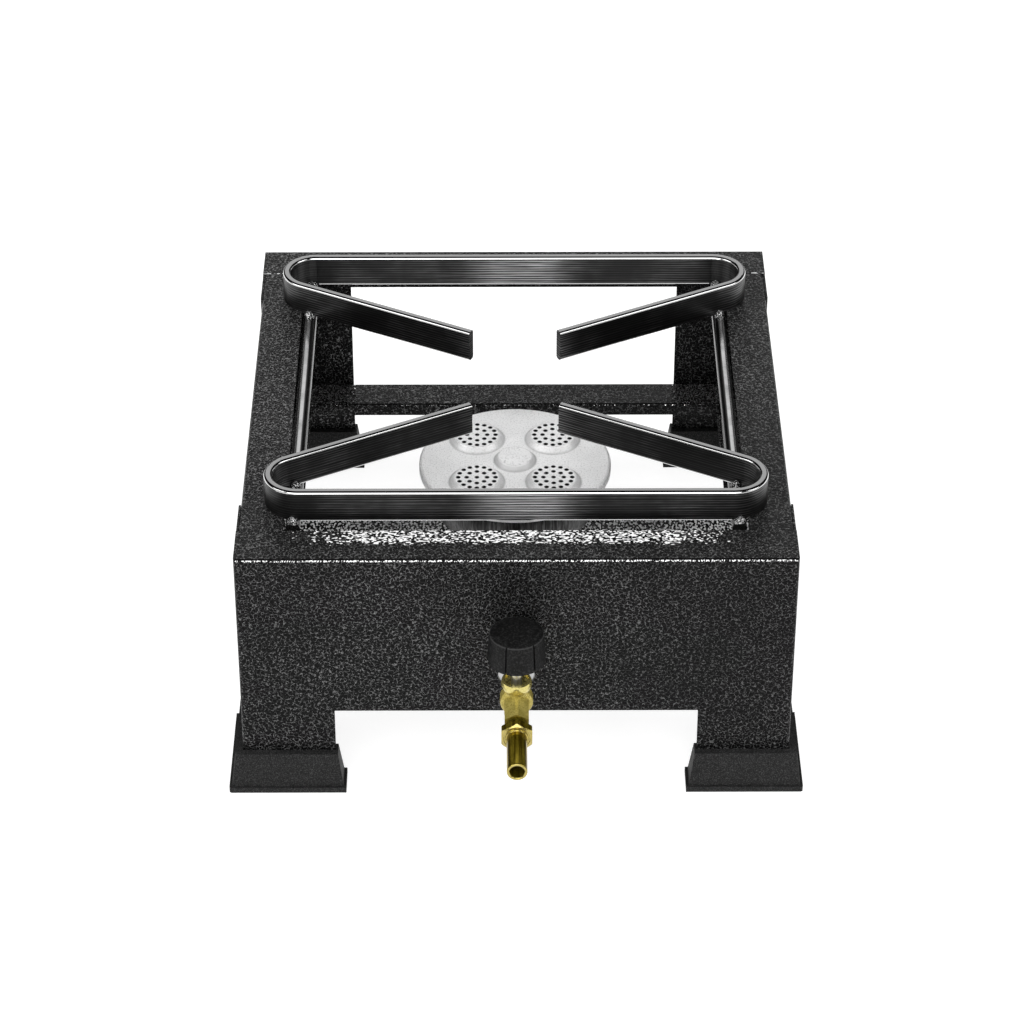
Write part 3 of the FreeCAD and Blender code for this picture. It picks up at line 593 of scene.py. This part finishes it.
def bowl_iron():
    """Dark bare iron with upright draw marks."""
    material, t = new_material("bowl_iron")
    streaks = t.noise(t.place((1, 1, 0.06)), scale=900, detail=3, roughness=0.6)
    stain = t.noise(t.place(), scale=90, detail=3, roughness=0.6)
    tone = t.times(t.remap(streaks, 0.35, 0.75), t.spread(stain, 0.4, 1.0))
    colour = t.blend(tone, grey(IRON_DARK), grey(IRON_LIGHT))
    t.surface(Base_Color=colour, Metallic=0.7, Roughness=t.spread(stain, 0.35, 0.5),
              Normal=t.bump(streaks, distance=0.00005, strength=0.5))
    return material


def zinc_steel():
    """Bright plated steel."""
    material, t = new_material("zinc_steel")
    stain = t.noise(t.place(), scale=160, detail=3, roughness=0.6)
    colour = t.blend(t.spread(stain), ZINC_DARK, ZINC_LIGHT)
    t.surface(Base_Color=colour, Metallic=1.0, Roughness=t.spread(stain, 0.28, 0.4))
    return material


def turned_brass():
    """Turned brass with streaks along the hose tail, rings on the faces about its axis and a painted
    highlight on faces to the front.
    """
    material, t = new_material("turned_brass")
    x, y, z = t.spot()
    rise = t.minus(z, TAP_HEIGHT)
    radius = t.maths("SQRT", t.plus(t.times(x, x), t.times(rise, rise)))
    around = t.times(t.maths("ARCTAN2", rise, x), TAIL_RADIUS)
    turned = t.add("CombineXYZ", {0: around, 1: t.times(radius, MARKS_OUTWARD), 2: t.times(y, MARKS_ALONG)})
    marks = t.noise(turned.outputs[0], scale=560, detail=2, roughness=0.5)
    stain = t.noise(t.place(), scale=160, detail=4, roughness=0.6)
    tone = t.times(t.spread(stain, 0.5, 1.0), t.remap(marks, 0.38, 0.62))
    colour = t.blend(tone, TURNED_DARK, TURNED_LIGHT)
    # Painted highlight: faces to the front are paler
    to_front = t.remap(t.facing()["Y"], *TURNED_FRONT)
    colour = t.blend(t.times(to_front, 0.6), colour, TURNED_FACE_HIGHLIGHT)
    t.surface(Base_Color=colour, Metallic=0.8, Roughness=t.spread(stain, 0.13, 0.24),
              Normal=t.bump(marks, distance=0.00003, strength=0.4))
    return material


def cup_brass():
    """Bright cast brass of the bonnet."""
    material, t = new_material("cup_brass")
    grain = t.noise(t.place(), scale=900, detail=2, roughness=0.5)
    stain = t.noise(t.place(), scale=160, detail=4, roughness=0.6)
    colour = t.blend(t.times(stain, t.remap(grain, 0.35, 0.6, 0.5, 1.0)), CUP_DARK, CUP_LIGHT)
    t.surface(Base_Color=colour, Metallic=0.8, Roughness=t.spread(stain, 0.14, 0.26),
              Normal=t.bump(grain, distance=0.00004, strength=0.5))
    return material


def cast_brass():
    """Satin cast tap body with a fine sandy grain, darkened by painted shade on the neck before the collar.
    """
    material, t = new_material("cast_brass")
    grain = t.noise(t.place(), scale=1300, detail=2, roughness=0.6)
    stain = t.noise(t.place(), scale=160, detail=4, roughness=0.6)
    neck = t.remap(t.spot()["Y"], NECK + NECK_FADE, NECK - NECK_FADE)
    satin = t.blend(t.spread(stain), CAST_DARK, CAST_LIGHT)
    satin = t.blend(t.remap(grain, 0.48, 0.68), satin, CAST_GRAIN)
    # Painted shade: the neck before the collar is dark brown
    neck_shade = t.blend(t.remap(grain, 0.4, 0.6), NECK_SHADE_DARK, NECK_SHADE_LIGHT)
    t.surface(Base_Color=t.blend(neck, satin, neck_shade), Metallic=t.remap(neck, 0.0, 1.0, 0.4, 0.8),
              Roughness=t.spread(stain, 0.3, 0.42), Normal=t.bump(grain, distance=0.00008, strength=0.6))
    return material


def black_plastic(name, level, grain_scale):
    """Moulded black plastic with a fine grain and a painted highlight on its rounded edges."""
    material, t = new_material(name)
    where = t.place()
    grain = t.noise(where, scale=grain_scale, detail=3, roughness=0.6)
    wear = t.noise(where, scale=60, detail=3, roughness=0.55)
    colour = t.blend(t.spread(wear), grey(level * WEAR_DARK), grey(level * WEAR_LIGHT))
    colour = t.blend(t.remap(grain, 0.46, 0.66), colour, grey(level * GRAIN_LIGHT))
    colour = t.blend(t.band(t.facing()["Z"], *ROUNDED_EDGE), colour, grey(level * EDGE_HIGHLIGHT))
    t.surface(Base_Color=colour, Roughness=t.spread(wear, 0.5, 0.64), Specular_IOR_Level=0.16,
              Normal=t.bump(grain, distance=0.0003, strength=0.9))
    return material


def fibre():
    """Pressed dark fibre, soaked with oil."""
    material, t = new_material("fibre")
    grain = t.noise(t.place(), scale=900, detail=3, roughness=0.6)
    colour = t.blend(grain, FIBRE_DARK, FIBRE_LIGHT)
    t.surface(Base_Color=colour, Roughness=0.8, Normal=t.bump(grain, distance=0.00008, strength=0.5))
    return material


def dress(name, finish):
    for slot in nodes[name].material_slots:
        slot.material = finish


def dress_nodes():
    """Every node takes the finish of its material slot, and three nodes a finish of their own."""
    finishes = {
        "hammer_paint": hammer_paint(),
        "black_shoe": black_plastic("black_shoe", *SHOE_PLASTIC),
        "support_steel": support_steel(),
        "rod_steel": rod_steel(),
        "burner_silver": burner_silver(),
        "bowl_iron": bowl_iron(),
        "zinc_steel": zinc_steel(),
        "brass": turned_brass(),
        "black_knob": black_plastic("black_knob", *KNOB_PLASTIC),
        "fibre": fibre(),
    }
    for part in frame["record"]["subparts"]:
        dress(part["node"], finishes[part["material_slot"]])
    dress("valve_body", cast_brass())
    dress("valve_bonnet", cup_brass())
    dress("support_welds", weld_steel())
    return finishes


def nipple_profile(shank_end):
    """Depth behind the mouth and radius of each ring, from the collar's back over the tail to the shank."""
    face = TAIL_LENGTH
    back = TAIL_LENGTH + COLLAR_LENGTH
    rings = [(back, COLLAR_CORNER)]
    for i in range(CHAMFER_STEPS + 1):
        part = i / CHAMFER_STEPS
        rings.append((face + COLLAR_CHAMFER * (1 - part),
                      COLLAR_CORNER + (COLLAR_FACE_RADIUS - COLLAR_CORNER) * part))
    rings += [(face, GROOVE_OUTSIDE), (face + GROOVE_DEPTH, GROOVE_OUTSIDE - GROOVE_SLOPE),
              (face + GROOVE_DEPTH, GROOVE_INSIDE + GROOVE_SLOPE), (face, GROOVE_INSIDE),
              (face, TAIL_RADIUS + TAIL_FILLET), (face - TAIL_FILLET, TAIL_RADIUS)]
    for i in range(LIP_STEPS + 1):
        turn = math.pi / 2 * i / LIP_STEPS
        rings.append((MOUTH_LIP * (1 - math.sin(turn)), TAIL_RADIUS - MOUTH_LIP * (1 - math.cos(turn))))
    rings += [(0.0, TAIL_BORE + BORE_CHAMFER), (BORE_CHAMFER, TAIL_BORE),
              (TAIL_BORE_DEPTH, TAIL_BORE), (TAIL_BORE_DEPTH, GAS_BORE),
              (shank_end, GAS_BORE), (shank_end, SHANK_RADIUS), (back, SHANK_RADIUS)]
    return rings


def flats_reach(angle):
    """Distance from the axis to the collar's flats."""
    half_side = math.pi / COLLAR_SIDES
    from_flat = (angle + half_side) % (2 * half_side) - half_side
    return COLLAR_FLATS / 2 / math.cos(from_flat)


def turned_mesh(name, rings, mouth, middle):
    """Closed skin over rings about an axis along Y, cut by the collar's flats where they reach that far."""
    points = []
    for depth, radius in rings:
        for i in range(TAIL_STEPS):
            angle = 2 * math.pi * i / TAIL_STEPS
            reach = min(radius, flats_reach(angle))
            points.append((reach * math.cos(angle), mouth + depth, middle + reach * math.sin(angle)))
    faces = []
    for ring in range(len(rings)):
        after = (ring + 1) % len(rings)
        for i in range(TAIL_STEPS):
            beside = (i + 1) % TAIL_STEPS
            faces.append((ring * TAIL_STEPS + i, ring * TAIL_STEPS + beside,
                          after * TAIL_STEPS + beside, after * TAIL_STEPS + i))
    mesh = bpy.data.meshes.new(name)
    mesh.from_pydata(points, [], faces)
    mesh.shade_smooth()
    mesh.set_sharp_from_angle(angle=SHARP_ANGLE)
    return mesh


def hose_tail(finish):
    """Hose nipple: collar with a turned face, tail with a rounded mouth, bore and shank, in one skin."""
    low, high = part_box("hose_nipple")
    mouth = low[1]
    middle = (low[2] + high[2]) / 2
    mesh = turned_mesh("turned_hose_nipple", nipple_profile(high[1] - mouth), mouth, middle)
    mesh.materials.append(finish)
    piece = bpy.data.objects.new("turned_hose_nipple", mesh)
    bpy.context.scene.collection.objects.link(piece)
    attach(piece, "frame")
    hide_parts("hose_nipple")


def floor():
    """Pale floor that reads white and keeps the stove's shadow."""
    mesh = bpy.data.meshes.new("floor")
    h = FLOOR_HALF
    mesh.from_pydata([(-h, -h, 0), (h, -h, 0), (h, h, 0), (-h, h, 0)], [], [(0, 1, 2, 3)])
    plane = bpy.data.objects.new("floor", mesh)
    bpy.context.scene.collection.objects.link(plane)
    material, t = new_material("floor")
    ray = t.add("LightPath").outputs
    seen = t.most(ray["Is Camera Ray"], ray["Is Glossy Ray"], ray["Is Transmission Ray"])
    diffuse = t.add("BsdfDiffuse", {"Color": grey(FLOOR_GREY)})
    glow = t.add("Emission", {"Color": grey(1.0), "Strength": t.times(seen, FLOOR_GLOW)})
    both = t.add("AddShader", {0: diffuse.outputs[0], 1: glow.outputs[0]})
    t.add("OutputMaterial", {"Surface": both.outputs[0]})
    mesh.materials.append(material)


def studio_light():
    """White horizon, dim sky and soft boxes of light above."""
    world = bpy.data.worlds.new("studio")
    world.use_nodes = True
    bpy.context.scene.world = world
    t = Tree(world.node_tree)
    direction = t.add("TexCoord").outputs["Generated"]
    height = t.axes(direction)["Z"]
    total = t.remap(height, HORIZON_TOP - HORIZON_FADE, HORIZON_TOP, HORIZON_LIGHT, SKY_LIGHT)
    for aim, edge, softness, radiance in SOFTBOXES:
        nearness = t.vector("DOT_PRODUCT", direction, Vector(aim).normalized())["Value"]
        total = t.plus(total, t.remap(nearness, edge - softness, edge + softness, 0.0, radiance))
    back = t.add("Background", {"Color": grey(1.0), "Strength": total})
    t.add("OutputWorld", {"Surface": back.outputs[0]})


def camera():
    """Camera at the photograph's place and angles."""
    flat = math.cos(CAMERA_PITCH)
    forward = Vector((math.sin(CAMERA_YAW) * flat, math.cos(CAMERA_YAW) * flat, -math.sin(CAMERA_PITCH)))
    level = Vector((math.cos(CAMERA_YAW), -math.sin(CAMERA_YAW), 0))
    down = forward.cross(level)
    right = math.cos(CAMERA_ROLL) * level + math.sin(CAMERA_ROLL) * down
    up = math.sin(CAMERA_ROLL) * level - math.cos(CAMERA_ROLL) * down
    data = bpy.data.cameras.new("camera")
    data.lens = CAMERA_LENS
    data.sensor_width = SENSOR_WIDTH
    data.clip_start = CLIP_START
    viewer = bpy.data.objects.new("camera", data)
    axes = Matrix((right, up, -forward)).transposed().to_4x4()
    viewer.matrix_world = Matrix.Translation(CAMERA_PLACE) @ axes
    bpy.context.scene.collection.objects.link(viewer)
    bpy.context.scene.camera = viewer


bpy.context.scene.view_settings.view_transform = "Standard"
finishes = dress_nodes()
hose_tail(finishes["brass"])
floor()
studio_light()
camera()
